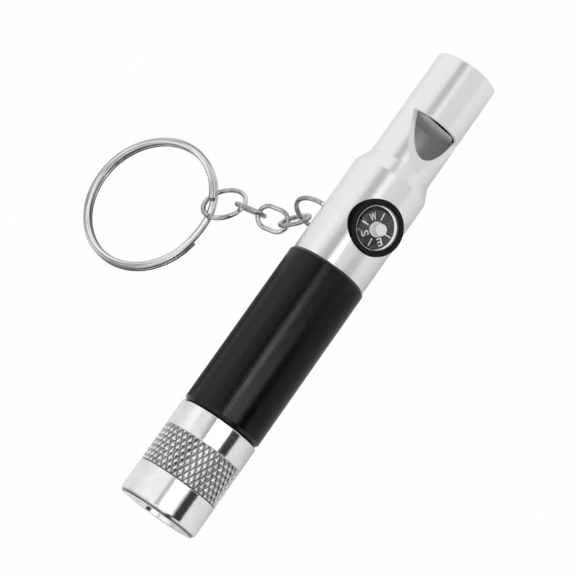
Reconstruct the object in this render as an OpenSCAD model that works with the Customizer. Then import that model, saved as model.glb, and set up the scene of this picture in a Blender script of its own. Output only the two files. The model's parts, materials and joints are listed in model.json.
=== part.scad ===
// Survival whistle: a whistle, a button compass and a small torch in one turned tube,
// with a key chain and a split ring. It lies on its side with the chain laid out behind it.
// +X runs along the tube from the torch to the mouth of the whistle, and the floor is at z = 0.

/* [Cells and torch tube] */
// Diameter of one button cell
cell_d = 11.6; // [10:0.1:13]
// Thickness of one button cell
cell_t = 5.4; // [4:0.1:6]
// Radial gap between the cells and their sleeve
cell_gap = 0.07; // [0.04:0.01:0.12]
// Wall of the insulating sleeve
sleeve_wall = 0.18; // [0.1:0.01:0.3]
// Radial gap between the sleeve and the tube
sleeve_gap = 0.05; // [0.03:0.01:0.1]
// Wall of the torch tube
tube_wall = 0.9; // [0.8:0.05:1.4]
// Length of the black tube between the head and the whistle
tube_len = 30.1; // [28:0.1:36]
// Length of the bevel at the head's end of the tube
tube_bevel = 0.75; // [0.3:0.05:1.2]
// Bevel at the tube's rear edge
seam_bevel = 0.25; // [0.1:0.05:0.35]
// Wall of the neck that the head screws onto
neck_wall = 0.4; // [0.3:0.05:0.5]
// Outside diameter of the contact spring
spring_d = 7.6; // [6:0.1:9]
// Thickness of the spring's wire
spring_wire = 0.6; // [0.4:0.05:0.8]
// Turns of the spring
spring_turns = 4; // [3:1:5]
// Section of the soft seal in front of the neck
seal_d = 0.7; // [0.5:0.05:0.8]

/* [Torch head] */
// Length of the head
head_len = 17.2; // [16.8:0.1:20]
// Wall of the head round its thread
head_wall = 0.4; // [0.35:0.05:0.8]
// Running gap in the thread between the head and the neck
thread_gap = 0.1; // [0.05:0.01:0.15]
// Gap between the head and the tube when the head is screwed home
head_gap = 0.1; // [0.05:0.01:0.3]
// Length of the bevel round the front edge
front_bevel = 0.6; // [0.2:0.05:1]
// Plain band in front of the knurl
front_band = 6; // [5.8:0.1:7]
// Length of the knurled band
knurl_len = 6.7; // [5.6:0.1:7.2]
// Grooves of each hand round the knurl
knurl_starts = 40; // [30:2:48]
// Depth of the knurl
knurl_depth = 0.3; // [0.15:0.05:0.4]
// Thickness of the head's front wall
front_wall = 5; // [4.5:0.1:5.5]
// Diameter of the reflector's mouth
reflector_d = 9; // [8:0.1:10]
// Depth of the reflector
reflector_depth = 4; // [3:0.1:4.2]

/* [Lamp] */
// Diameter of the lamp's body
led_d = 5; // [4.8:0.1:5.2]
// Length of the lamp from its tip to its foot
led_len = 8.6; // [8:0.1:9]
// Depth of the lamp's tip behind the front face
led_inset = 1.4; // [1:0.1:2]
// Gap between the lamp and the hole it sits in
led_gap = 0.1; // [0.05:0.01:0.2]
// Diameter of the lamp's foot
foot_d = 5.8; // [5.6:0.1:6.2]
// Thickness of the lamp's foot
foot_t = 1; // [0.8:0.1:1.2]
// Thickness of the contact board
board_t = 0.8; // [0.6:0.1:1]
// Diameter of the board's contact stud
stud_d = 2.6; // [2:0.1:4]

/* [Whistle] */
// Step from the black tube down to the whistle
body_step = 0.3; // [0.05:0.01:0.4]
// Length of the compass section
body_len = 17.85; // [17:0.05:22]
// Length of the cone down to the mouth tube
shoulder_len = 2.6; // [1.5:0.1:4]
// Drop in radius over the cone
shoulder_drop = 1.2; // [0.8:0.05:1.6]
// Length of the mouth tube
mouth_len = 19.8; // [18:0.1:26]
// Wall of the mouth tube
mouth_wall = 0.75; // [0.7:0.05:1.2]
// Rounding of the mouth's edge
mouth_round = 0.65; // [0.2:0.05:0.65]
// Length of the sounding window
window_len = 8.3; // [7:0.1:8.8]
// Depth of the window at its mouth side
window_depth = 3.15; // [2.6:0.05:3.4]
// Distance from the window to the mouth
lip_len = 10.9; // [9:0.1:12]
// Turn of the window and the compass round the tube, from straight up
face_angle = 51; // [30:1:60]
// Height of the air slot over the plug
slot_h = 1.1; // [0.6:0.05:1.5]
// Gap round the plug
plug_gap = 0.03; // [0.02:0.01:0.05]
// Length of the chamber behind the window
chamber_len = 6.5; // [5:0.1:6.5]
// Wall of the tube's socket round the spigot
socket_wall = 0.5; // [0.4:0.05:0.7]
// Gap round the spigot
spigot_gap = 0.05; // [0.03:0.01:0.08]
// Length of the spigot that screws into the tube
spigot_len = 7.2; // [5:0.1:7.6]

/* [Compass] */
// Distance from the compass to the cone
compass_inset = 8.7; // [7:0.1:9.5]
// Diameter of the compass lens
lens_d = 7.6; // [7:0.1:8]
// Height of the lens's edge
lens_edge = 0.3; // [0.2:0.05:0.4]
// Rise of the lens's dome
lens_dome = 1.2; // [0.9:0.05:1.3]
// Thickness of the lens's dome
lens_t = 0.4; // [0.3:0.05:0.5]
// Gap round the lens and round the case
seat_gap = 0.04; // [0.02:0.01:0.06]
// Wall of the case round the lens
case_wall = 0.78; // [0.6:0.02:1]
// Width of the step under the lens
lens_seat = 0.15; // [0.1:0.05:0.3]
// Depth of the lens's seat below the rim
seat_depth = 0.4; // [0.35:0.05:0.8]
// Rise of the case's rim above the tube
rim_rise = 0.3; // [0:0.05:0.5]
// Bevel on the outer edge of the case's rim
rim_bevel = 0.12; // [0.05:0.01:0.3]
// Depth of the case
case_depth = 4; // [3.6:0.1:5]
// Thickness of the case's floor
case_floor = 0.5; // [0.4:0.05:0.7]
// Diameter of the dial
dial_d = 6.2; // [5.6:0.1:6.3]
// Thickness of the dial
dial_t = 0.3; // [0.2:0.05:0.4]
// Distance from the pivot to the middle of the case, down the slope
pivot_offset = 0.45; // [0:0.05:0.45]
// Diameter of the pivot pin
pivot_d = 0.44; // [0.3:0.02:0.5]
// Gap round the pivot pin
pivot_gap = 0.13; // [0.08:0.01:0.15]
// Height of the cap on the dial
cap_h = 1.85; // [1.5:0.05:2]
// Diameter of the cap
cap_d = 2; // [1.6:0.1:2.4]
// Length of the magnet bar under the dial
magnet_len = 4.4; // [3:0.1:5]

/* [Chain] */
// Thickness of the chain's wire
wire_d = 0.8; // [0.7:0.05:0.9]
// Gap left between one link and the next
chain_gap = 0.22; // [0.15:0.01:0.3]
// Outside length of a link
link_len = 6.1; // [5.6:0.1:7]
// Outside width of a link
link_w = 4.54; // [4.2:0.02:5]
// Outside diameter of the ring in the whistle's eye
eye_ring_d = 8.4; // [7.8:0.1:9]
// Outside diameter of the ring that holds the split ring
end_ring_d = 8.12; // [7.9:0.02:9]
// Distance of the eye from the cone
eye_inset = 9.1; // [8:0.1:11]
// Turn of the eye round the tube, from straight up
eye_angle = -106.6; // [-120:0.1:-100]
// Depth of the eye below the surface
eye_depth = 1.2; // [1.1:0.05:1.8]
// Gap round the wire in the eye
eye_gap = 0.35; // [0.25:0.05:0.4]

/* [Split ring] */
// Outside diameter of the split ring
ring_d = 24.76; // [22:0.02:28]
// Width of the split ring's wire
ring_w = 1.3; // [1.1:0.05:1.5]
// Thickness of the split ring's wire
ring_t = 0.65; // [0.5:0.05:0.7]
// Bevel along the edges of the split ring's wire
ring_bevel = 0.15; // [0.05:0.05:0.2]
// Gap between the two coils
coil_gap = 0.03; // [0.02:0.01:0.05]
// Stretch of wire that crosses from one coil to the other, in degrees
ring_cross = 40; // [30:1:60]
// Slack between the split ring and the ring that holds it
ring_slack = 0.6; // [0.4:0.05:0.8]

/* [Hidden] */
$fn = 64;
eps = 0.01;

// Diameters, from the cells outwards
cells = 4;
sleeve_bore = cell_d + 2 * cell_gap;
sleeve_d = sleeve_bore + 2 * sleeve_wall;
tube_bore = sleeve_d + 2 * sleeve_gap;
tube_d = tube_bore + 2 * tube_wall;
neck_d = tube_bore + 2 * neck_wall;
skirt_bore = neck_d + 2 * thread_gap;
head_d = skirt_bore + 2 * head_wall;
spigot_d = tube_d - 2 * socket_wall - 2 * spigot_gap;
body_d = tube_d - 2 * body_step;
mouth_d = body_d - 2 * shoulder_drop;
chamber_d = mouth_d - 2 * mouth_wall;
plug_d = chamber_d - 2 * plug_gap;
case_d = lens_d + 2 * (seat_gap + case_wall);
cavity_d = lens_d - 2 * lens_seat;
holder_bore = sleeve_d - 0.3;
board_d = holder_bore - 0.4;
axis_z = max(head_d, tube_d) / 2;

// Places along the tube, from the front face of the head
knurl_x = front_band;
skirt_x = front_band + knurl_len + 0.1;
neck_x = skirt_x + seal_d + 0.1;
seal_x = skirt_x + seal_d / 2 + 0.05;
tube_x = head_len + head_gap;
seam_x = tube_x + tube_len;
body_x = seam_x + 0.05;
shoulder_x = body_x + body_len;
mouth_x = shoulder_x + shoulder_len;
end_x = mouth_x + mouth_len;
edge_x = end_x - lip_len;
window_x = edge_x - window_len;
chamber_x = window_x - chamber_len;
compass_x = shoulder_x - compass_inset;
eye_x = shoulder_x - eye_inset;
spigot_x = body_x - spigot_len;
foot_x = led_inset + led_len;
board_x = foot_x + 0.15;
cell_x = neck_x - 0.1;
spring_x = cell_x + cells * (cell_t + 0.05);
spring_end_x = spigot_x + 0.8;

// Heights above the axis, along the compass's own direction
rim_h = body_d / 2 + rim_rise;
case_h = rim_h - case_depth;
seat_h = rim_h - seat_depth;
cavity_h = case_h + case_floor;
lens_h = seat_h + 0.02 + lens_edge;
dome_r = (lens_d * lens_d / 4 + lens_dome * lens_dome) / (2 * lens_dome);
dome_h = lens_h + lens_dome - dome_r;
cap_reach = pivot_offset + cap_d / 2;
cap_top_h = dome_h + sqrt((dome_r - lens_t) * (dome_r - lens_t) - cap_reach * cap_reach) - 0.1;
dial_h = cap_top_h - cap_h - dial_t;

// Turns of the chain's pieces about X, Y and Z, laid out by hand as they lie
eye_ring_turn = [-71.9, 10.1, 103.5];
hang_angle = 26;
link_turns = [[-135.9, 15.6, 118.8], [-21.9, -13.9, 99.9], [-102, 4, 94.9]];
end_ring_turn = [24.8, 3.2, 111.9];
ring_heading = -63.8;
ring_tilt = 3.9;
ring_end = -36.7;

// Centres of the chain's pieces: each one starts where the last one holds it
function ahead(t) = [cos(t.y) * cos(t.z), cos(t.y) * sin(t.z), -sin(t.y)];
function across(t) = [
    sin(t.x) * sin(t.y) * cos(t.z) - cos(t.x) * sin(t.z),
    sin(t.x) * sin(t.y) * sin(t.z) + cos(t.x) * cos(t.z),
    sin(t.x) * cos(t.y)];
eye_ring_r = (eye_ring_d - wire_d) / 2;
end_ring_r = (end_ring_d - wire_d) / 2;
link_r = (link_len - wire_d) / 2;
link_step = wire_d + chain_gap;
hook_r = body_d / 2 - eye_depth;
hook = [eye_x, -hook_r * sin(eye_angle), axis_z + hook_r * cos(eye_angle)];
eye_ring_at = hook + eye_ring_r * ahead(eye_ring_turn);
hang_1 = eye_ring_at + eye_ring_r * (cos(hang_angle) * ahead(eye_ring_turn)
    + sin(hang_angle) * across(eye_ring_turn));
link_1_at = hang_1 + (link_r - link_step) * ahead(link_turns[0]);
hang_2 = link_1_at + link_r * ahead(link_turns[0]);
link_2_at = hang_2 + (link_r - link_step) * ahead(link_turns[1]);
hang_3 = link_2_at + link_r * ahead(link_turns[1]);
link_3_at = hang_3 + (link_r - link_step) * ahead(link_turns[2]);
hang_4 = link_3_at + link_r * ahead(link_turns[2]);
end_ring_at = hang_4 + (end_ring_r - link_step) * ahead(end_ring_turn);
ring_r = (ring_d - ring_w) / 2;
ring_reach = ring_r + end_ring_r - (wire_d + ring_w) / 2 - ring_slack;
ring_at = [end_ring_at.x - ring_reach * cos(ring_heading),
    end_ring_at.y - ring_reach * sin(ring_heading), ring_d / 2 * sin(ring_tilt)];

// The row's origin: the middle of the floor under everything
front_y = rim_h * sin(face_angle) + (case_d / 2 - rim_bevel) * cos(face_angle);
ring_lean = -sin(ring_heading) * sin(ring_tilt);
back_y = ring_at.y + ring_d / 2 * sqrt(1 - ring_lean * ring_lean)
    + (2 * ring_t + coil_gap - ring_bevel) * ring_lean;
middle = [end_x / 2, (back_y - front_y) / 2, 0];

module placed() {
    translate(-middle)
        children();
}

module on_axis() {
    placed()
        translate([0, 0, axis_z])
            children();
}

// Turns a half section, given as radius and distance along the tube
module turned() {
    on_axis()
        rotate([0, 90, 0])
            rotate_extrude()
                children();
}

// A flat half section between two distances
module step(x0, x1, d, bore = 0) {
    translate([bore / 2, x0])
        square([(d - bore) / 2, x1 - x0]);
}

// Stands its children on the tube's axis, facing out at the given turn
module facing(x, angle) {
    on_axis()
        translate([x, 0, 0])
            rotate([angle, 0, 0])
                children();
}

// A closed mesh through rings of points, each ring with the same number of points
module lofted(rings, closed = false) {
    n = len(rings);
    m = len(rings[0]);
    last = closed ? n - 1 : n - 2;
    sides = [for (i = [0 : last], k = [0 : m - 1], half = [0, 1])
        let (j = (i + 1) % n, l = (k + 1) % m)
        half == 0 ? [i * m + k, i * m + l, j * m + l] : [i * m + k, j * m + l, j * m + k]];
    caps = closed ? [] : [[for (k = [m - 1 : -1 : 0]) k], [for (k = [0 : m - 1]) (n - 1) * m + k]];
    polyhedron(points = [for (r = rings) each r], faces = concat(sides, caps), convexity = 8);
}

// The diamond knurl: two sets of grooves that cross, with a pyramid between them
module knurl_band() {
    rows = 7;
    steps = 2 * knurl_starts;
    core_r = head_d / 2 - knurl_depth - 0.35;
    function rim(i, j) = head_d / 2 - ((i + j) % 2 == 0 ? 0 : knurl_depth);
    rings = [for (i = [0 : steps - 1]) let (a = 360 * i / steps) concat(
        [for (j = [0 : rows]) [rim(i, j) * cos(a), rim(i, j) * sin(a), knurl_len * j / rows]],
        [[core_r * cos(a), core_r * sin(a), knurl_len], [core_r * cos(a), core_r * sin(a), 0]])];
    m = rows + 3;
    sides = [for (i = [0 : steps - 1], k = [0 : m - 1], half = [0, 1])
        let (j = (i + 1) % steps, l = (k + 1) % m, even = (i + k) % 2 == 0,
            a = i * m + k, b = i * m + l, c = j * m + l, d = j * m + k)
        even ? (half == 0 ? [a, b, d] : [b, c, d]) : (half == 0 ? [a, b, c] : [a, c, d])];
    polyhedron(points = [for (r = rings) each r], faces = sides, convexity = 8);
}

module head() {
    lip = 0.25;
    color([0.86, 0.86, 0.87])
        difference() {
            union() {
                turned() {
                    polygon([[0, 0], [head_d / 2 - front_bevel * 0.75, 0], [head_d / 2, front_bevel],
                        [head_d / 2, knurl_x - lip], [head_d / 2 - lip, knurl_x], [0, knurl_x]]);
                    step(knurl_x - eps, skirt_x, head_d - 2 * knurl_depth - 0.3);
                    polygon([[0, knurl_x + knurl_len], [head_d / 2 - lip, knurl_x + knurl_len],
                        [head_d / 2, knurl_x + knurl_len + lip], [head_d / 2, head_len - 0.1],
                        [head_d / 2 - 0.1, head_len], [0, head_len]]);
                }
                on_axis()
                    translate([knurl_x, 0, 0])
                        rotate([0, 90, 0])
                            knurl_band();
            }
            turned() {
                polygon([[0, -eps], [reflector_d / 2, -eps], [led_d / 2 + led_gap, reflector_depth],
                    [0, reflector_depth]]);
                step(reflector_depth - eps, front_wall + eps, led_d + 2 * led_gap);
                step(front_wall, skirt_x + eps, holder_bore);
                step(skirt_x, head_len + eps, skirt_bore);
            }
        }
}

module led_holder() {
    color([0.93, 0.93, 0.9])
        turned()
            difference() {
                step(front_wall + 0.15, foot_x, holder_bore - 0.3);
                step(0, foot_x - foot_t - 0.1, led_d + 2 * led_gap);
                step(foot_x - foot_t - 0.1, foot_x + eps, foot_d + 2 * led_gap);
            }
}

module led() {
    color([0.95, 0.96, 0.97])
        turned() {
            intersection() {
                translate([0, led_inset + led_d / 2])
                    circle(d = led_d);
                step(0, foot_x, led_d);
            }
            step(led_inset + led_d / 2, foot_x, led_d);
            step(foot_x - foot_t, foot_x, foot_d);
        }
}

module contact_board() {
    color([0.2, 0.45, 0.3])
        turned() {
            step(board_x, board_x + board_t, board_d);
            step(board_x, cell_x - 0.1, stud_d);
        }
}

module battery_tube() {
    color([0.1, 0.1, 0.11])
        turned()
            difference() {
                union() {
                    step(neck_x, tube_x + tube_bevel, neck_d);
                    polygon([[0, tube_x], [neck_d / 2, tube_x], [tube_d / 2, tube_x + tube_bevel],
                        [tube_d / 2, seam_x - seam_bevel], [tube_d / 2 - seam_bevel, seam_x],
                        [0, seam_x]]);
                }
                step(0, seam_x + eps, tube_bore);
                step(spigot_x - 0.1, seam_x + eps, spigot_d + 2 * spigot_gap);
            }
}

module seal_ring() {
    color([0.08, 0.08, 0.08])
        turned()
            translate([neck_d / 2 - seal_d / 2 - 0.05, seal_x])
                circle(d = seal_d, $fn = 32);
}

module battery_sleeve() {
    color([0.9, 0.88, 0.8])
        turned()
            step(neck_x + 0.1, spring_x, sleeve_d, sleeve_bore);
}

// A button cell: the can, and the raised cap at the lamp's side
module cell(i) {
    x = cell_x + i * (cell_t + 0.05);
    color([0.75, 0.76, 0.78])
        turned() {
            step(x, x + 0.5, cell_d - 2.4);
            step(x + 0.4, x + cell_t, cell_d);
        }
}

module cell_1() {
    cell(0);
}

module cell_2() {
    cell(1);
}

module cell_3() {
    cell(2);
}

module cell_4() {
    cell(3);
}

module contact_spring() {
    per_turn = 20;
    n = spring_turns * per_turn;
    coil_r = (spring_d - spring_wire) / 2;
    run = spring_end_x - spring_x - spring_wire - 0.1;
    rings = [for (i = [0 : n]) let (a = 360 * i / per_turn) [for (k = [0 : 7]) let (b = 45 * k)
        [(coil_r + spring_wire / 2 * cos(b)) * cos(a), (coil_r + spring_wire / 2 * cos(b)) * sin(a),
            spring_wire / 2 * sin(b) + run * i / n]]];
    color([0.8, 0.75, 0.6])
        on_axis()
            translate([spring_x + spring_wire / 2 + 0.05, 0, 0])
                rotate([0, 90, 0])
                    lofted(rings);
}

module whistle_body() {
    color([0.84, 0.84, 0.85])
        difference() {
            turned() {
                step(spigot_x, body_x + eps, spigot_d);
                polygon([[0, body_x], [body_d / 2 - 0.1, body_x], [body_d / 2, body_x + 0.1],
                    [body_d / 2, shoulder_x], [mouth_d / 2, mouth_x], [0, mouth_x]]);
                step(mouth_x - eps, end_x - mouth_round, mouth_d);
                step(mouth_x, end_x, mouth_d - 2 * mouth_round);
                translate([mouth_d / 2 - mouth_round, end_x - mouth_round])
                    circle(r = mouth_round);
            }
            turned() {
                step(chamber_x, end_x + eps, chamber_d);
                step(spigot_x - eps, spring_end_x, spring_d + 0.6);
            }
            facing(compass_x, face_angle)
                translate([0, 0, case_h - seat_gap])
                    cylinder(d = case_d + 2 * seat_gap, h = body_d);
            window();
            eye();
        }
}

// The sounding window: a slope that ends in a square edge on the mouth's side
module window() {
    facing(0, face_angle)
        rotate([90, 0, 0])
            linear_extrude(body_d, center = true)
                polygon([[window_x, mouth_d / 2], [edge_x, mouth_d / 2 - window_depth],
                    [edge_x, body_d], [window_x, body_d]]);
}

// The eye: a curved hole just under the surface, in line with the ring that it holds
module eye() {
    on_chain(eye_ring_at, eye_ring_turn)
        rotate_extrude()
            translate([eye_ring_r, 0])
                circle(d = wire_d + 2 * eye_gap);
}

// The plug that leaves a flat slot for the breath between it and the tube
module windway_plug() {
    color([0.55, 0.55, 0.56])
        difference() {
            turned()
                step(edge_x, end_x - 0.3, plug_d);
            facing(0, face_angle)
                translate([edge_x - 1, -mouth_d / 2, chamber_d / 2 - slot_h])
                    cube([lip_len + 2, mouth_d, slot_h + 1]);
        }
}

module compass_case() {
    color([0.06, 0.06, 0.07])
        facing(compass_x, face_angle)
            rotate_extrude()
                difference() {
                    step(case_h, rim_h, case_d);
                    step(cavity_h, rim_h, cavity_d);
                    step(seat_h, rim_h + eps, lens_d + 2 * seat_gap);
                    polygon([[case_d / 2 - rim_bevel - eps, rim_h + eps],
                        [case_d / 2 + eps, rim_h - rim_bevel - eps], [case_d / 2 + eps, rim_h + eps]]);
                }
}

// Stands its children on the pivot
module on_pivot() {
    facing(compass_x, face_angle)
        translate([0, -pivot_offset, 0])
            children();
}

module compass_pivot() {
    color([0.78, 0.7, 0.45])
        on_pivot()
            rotate_extrude()
                polygon([[0, cavity_h], [0.6, cavity_h], [0.6, cavity_h + 0.3], [pivot_d / 2, cavity_h + 0.3],
                    [pivot_d / 2, dial_h + dial_t], [0, dial_h + dial_t + 0.4]]);
}

module compass_dial() {
    color([0.12, 0.12, 0.13])
        on_pivot()
            rotate_extrude()
                step(dial_h, dial_h + dial_t, dial_d, pivot_d + 2 * pivot_gap);
}

module dial_magnet() {
    color([0.3, 0.3, 0.32])
        on_pivot()
            difference() {
                translate([-magnet_len / 2, -0.5, dial_h - 0.5])
                    cube([magnet_len, 1, 0.5]);
                translate([0, 0, dial_h - 1])
                    cylinder(d = pivot_d + 2 * pivot_gap, h = 2, $fn = 32);
            }
}

// The cap that rides on the pivot's tip: a low collar and a flat-topped post
module dial_cap() {
    foot = dial_h + dial_t;
    color([0.8, 0.8, 0.8])
        on_pivot()
            rotate_extrude()
                difference() {
                    union() {
                        step(foot, foot + 0.3, cap_d + 0.5);
                        step(foot, cap_top_h, cap_d);
                    }
                    step(foot - eps, foot + 0.6, pivot_d + 2 * pivot_gap);
                }
}

// The lens: a clear dome, hollow underneath, on a short straight edge
module compass_lens() {
    color([0.8, 0.85, 0.9, 0.4])
        facing(compass_x, face_angle)
            rotate_extrude()
                difference() {
                    union() {
                        step(seat_h + 0.02, lens_h, lens_d);
                        intersection() {
                            translate([0, dome_h])
                                circle(r = dome_r);
                            step(lens_h - 0.1, lens_h + lens_dome, lens_d);
                        }
                    }
                    translate([0, dome_h])
                        circle(r = dome_r - lens_t);
                }
}

// Lays a piece of the chain at its place and turn
module on_chain(at, turn) {
    placed()
        translate(at)
            rotate(turn)
                children();
}

// A ring of round wire whose ends meet with a fine gap
module jump_ring(r, gap_at) {
    color([0.72, 0.73, 0.75])
        rotate([0, 0, gap_at])
            rotate_extrude(angle = 358)
                translate([r, 0])
                    circle(d = wire_d, $fn = 32);
}

// An oval link of round wire
module oval_link() {
    bend_r = (link_w - wire_d) / 2;
    half = (link_len - link_w) / 2;
    color([0.72, 0.73, 0.75])
        for (side = [0, 180])
            rotate([0, 0, side]) {
                translate([half, 0, 0])
                    rotate([0, 0, -90])
                        rotate_extrude(angle = 180)
                            translate([bend_r, 0])
                                circle(d = wire_d, $fn = 32);
                translate([-half, bend_r, 0])
                    rotate([0, 90, 0])
                        cylinder(d = wire_d, h = 2 * half, $fn = 32);
            }
}

module eye_ring() {
    on_chain(eye_ring_at, eye_ring_turn)
        jump_ring(eye_ring_r, 179);
}

module link_1() {
    on_chain(link_1_at, link_turns[0])
        oval_link();
}

module link_2() {
    on_chain(link_2_at, link_turns[1])
        oval_link();
}

module link_3() {
    on_chain(link_3_at, link_turns[2])
        oval_link();
}

module end_ring() {
    on_chain(end_ring_at, end_ring_turn)
        jump_ring(end_ring_r, 70);
}

// Two coils of flat wire: the lower one climbs onto the upper one beside the end ring
module split_ring() {
    turn = 360 - ring_cross;
    total = 2 * turn + ring_cross;
    n = 112;
    w = ring_w / 2;
    b = ring_bevel;
    section = [[w - b, 0], [w, b], [w, ring_t - b], [w - b, ring_t],
        [b - w, ring_t], [-w, ring_t - b], [-w, b], [b - w, 0]];
    function climb(s) = let (u = min(1, max(0, (s - turn) / ring_cross))) u * u * (3 - 2 * u);
    rings = [for (i = [0 : n]) let (s = total * i / n, a = ring_end - s)
        [for (p = section) [(ring_r + p.x) * cos(a), (ring_r + p.x) * sin(a),
            p.y + climb(s) * (ring_t + coil_gap)]]];
    color([0.75, 0.76, 0.78])
        on_chain(ring_at, [0, -ring_tilt, ring_heading])
            lofted([for (r = rings) [for (k = [7 : -1 : 0]) r[k]]]);
}

head();
led_holder();
led();
contact_board();
battery_tube();
seal_ring();
battery_sleeve();
cell_1();
cell_2();
cell_3();
cell_4();
contact_spring();
whistle_body();
windway_plug();
compass_case();
compass_pivot();
compass_dial();
dial_magnet();
dial_cap();
compass_lens();
eye_ring();
link_1();
link_2();
link_3();
end_ring();
split_ring();
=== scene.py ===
import json
import math

import bpy
import numpy as np
from mathutils import Euler, Matrix, Vector

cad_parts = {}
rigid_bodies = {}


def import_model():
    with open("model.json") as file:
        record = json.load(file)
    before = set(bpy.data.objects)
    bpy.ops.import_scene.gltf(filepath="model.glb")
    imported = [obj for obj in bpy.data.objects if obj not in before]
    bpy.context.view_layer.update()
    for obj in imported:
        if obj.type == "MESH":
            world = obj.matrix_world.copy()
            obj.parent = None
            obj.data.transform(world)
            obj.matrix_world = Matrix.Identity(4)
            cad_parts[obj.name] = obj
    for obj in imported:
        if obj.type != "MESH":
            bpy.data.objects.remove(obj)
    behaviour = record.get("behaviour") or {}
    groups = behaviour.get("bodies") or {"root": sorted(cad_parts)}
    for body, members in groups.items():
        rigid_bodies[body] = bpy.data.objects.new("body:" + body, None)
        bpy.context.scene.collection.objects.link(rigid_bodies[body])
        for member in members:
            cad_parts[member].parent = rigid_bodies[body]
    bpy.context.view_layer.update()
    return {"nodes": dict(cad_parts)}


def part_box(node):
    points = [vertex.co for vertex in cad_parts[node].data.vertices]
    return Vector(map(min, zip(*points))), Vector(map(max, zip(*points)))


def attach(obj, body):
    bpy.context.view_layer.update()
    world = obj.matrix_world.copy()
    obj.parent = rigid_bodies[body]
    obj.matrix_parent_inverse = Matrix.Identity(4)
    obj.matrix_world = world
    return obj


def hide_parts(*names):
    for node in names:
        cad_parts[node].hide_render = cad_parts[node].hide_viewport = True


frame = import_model()


# The view: a long lens looks down on the whistle from its torch end, with the camera rolled
# so that the tube runs from the lower left to the upper right. Lengths here and below are in
# millimetres, and MM turns them into the metres of the frame.
MM = 0.001
scene = bpy.context.scene
camera = bpy.data.objects.new("camera", bpy.data.cameras.new("camera"))
scene.collection.objects.link(camera)
camera.location = Vector((-73.054, -211.161, 351.405)) * MM
camera.rotation_euler = [math.radians(a) for a in (25.5139, 18.1548, -53.2739)]
camera.data.sensor_width = 36
camera.data.lens = 156.25
camera.data.clip_start = 0.01
camera.data.clip_end = 60
scene.camera = camera
scene.view_settings.view_transform = "Standard"


# The table and the light tent: a white table, an even white room for soft light, and an arch
# of cards over the tube that only shiny surfaces see. The arch has bright cards on the camera's
# side and dark gaps between them, as a bench for photographing metal has.
class Wire:
    """One output of a material's nodes. Sums written with it add Math nodes."""

    def __init__(self, finish, socket):
        self.finish = finish
        self.socket = socket

    def __add__(self, other):
        return self.finish.sum("ADD", self, other)

    def __sub__(self, other):
        return self.finish.sum("SUBTRACT", self, other)

    def __rsub__(self, other):
        return self.finish.sum("SUBTRACT", other, self)

    def __mul__(self, other):
        return self.finish.sum("MULTIPLY", self, other)

    def __truediv__(self, other):
        return self.finish.sum("DIVIDE", self, other)

    def __pow__(self, other):
        return self.finish.sum("POWER", self, other)

    __radd__ = __add__
    __rmul__ = __mul__

    def rise(self, start, end):
        """0 up to start, then smoothly to 1 at end."""
        return self.finish.node(
            "MapRange",
            {"interpolation_type": "SMOOTHSTEP"},
            {"Value": self, "From Min": start, "From Max": end},
        )

    def band(self, start, end, soft):
        """1 between start and end, with soft edges."""
        return self.rise(start - soft, start + soft) - self.rise(end - soft, end + soft)


def grey(shade):
    """A grey, or the colour as given, with full alpha."""
    if isinstance(shade, (int, float)):
        shade = (shade, shade, shade)
    return (*shade, 1.0)


class Finish:
    """A material, or the room's light, that is built node by node."""

    def __init__(self, name, owner=None):
        self.owner = owner or bpy.data.materials.new(name)
        self.owner.use_nodes = True
        self.tree = self.owner.node_tree
        self.tree.nodes.clear()

    def node(self, kind, settings=None, sockets=None, out=0):
        """Any node: its type, its settings, then the values or links of its sockets."""
        made = self.tree.nodes.new("ShaderNode" + kind)
        for key, value in (settings or {}).items():
            setattr(made, key, value)
        for key, value in (sockets or {}).items():
            if isinstance(value, Wire):
                self.tree.links.new(value.socket, made.inputs[key])
            else:
                made.inputs[key].default_value = value
        return Wire(self, made.outputs[out]) if made.outputs else None

    def sum(self, operation, a, b=0.0):
        return self.node("Math", {"operation": operation}, {0: a, 1: b})

    def place(self):
        """The place on the piece, in the frame's metres."""
        return self.node("TexCoord", out=3)

    def axes(self, place):
        return [self.node("SeparateXYZ", {}, {0: place}, out=i) for i in range(3)]

    def stretched(self, place, scale):
        """The place scaled along X, Y and Z, so that a pattern is drawn out."""
        return self.node("VectorMath", {"operation": "MULTIPLY"}, {0: place, 1: scale})

    def noise(self, place, scale, detail=2.0, rough=0.5):
        sockets = {"Vector": place, "Scale": scale, "Detail": detail, "Roughness": rough}
        return self.node("TexNoise", {}, sockets)

    def tones(self, mask, dark, light):
        """A colour that goes from dark to light as mask goes from 0 to 1."""
        sockets = {"Factor": mask, 6: grey(dark), 7: grey(light)}
        return self.node("Mix", {"data_type": "RGBA"}, sockets, out=2)

    def bump(self, height, depth):
        """A relief whose depth is in millimetres."""
        return self.node("Bump", {}, {"Height": height, "Distance": depth * MM, "Strength": 1.0})

    def surface(self, **sockets):
        """A Principled surface, joined to the output."""
        named = {key.replace("_", " "): value for key, value in sockets.items()}
        self.output(self.node("BsdfPrincipled", {}, named))
        return self.owner

    def output(self, shader):
        kind = "OutputWorld" if isinstance(self.owner, bpy.types.World) else "OutputMaterial"
        self.node(kind, {}, {"Surface": shader})


world = scene.world or bpy.data.worlds.new("room")
scene.world = world
room = Finish("room", world)
room.output(room.node("Background", {}, {"Color": grey(1.0), "Strength": 1.0}))


def stage_sheet(name, corners, faces, material):
    """A sheet of the room, which isn't part of the whistle."""
    mesh = bpy.data.meshes.new(name)
    mesh.from_pydata([Vector(c) * MM for c in corners], [], faces)
    sheet = bpy.data.objects.new(name, mesh)
    scene.collection.objects.link(sheet)
    mesh.materials.append(material)
    return sheet


low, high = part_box("battery_tube")
axis_y = (low[1] + high[1]) / 2 / MM
axis_z = (low[2] + high[2]) / 2 / MM

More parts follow.
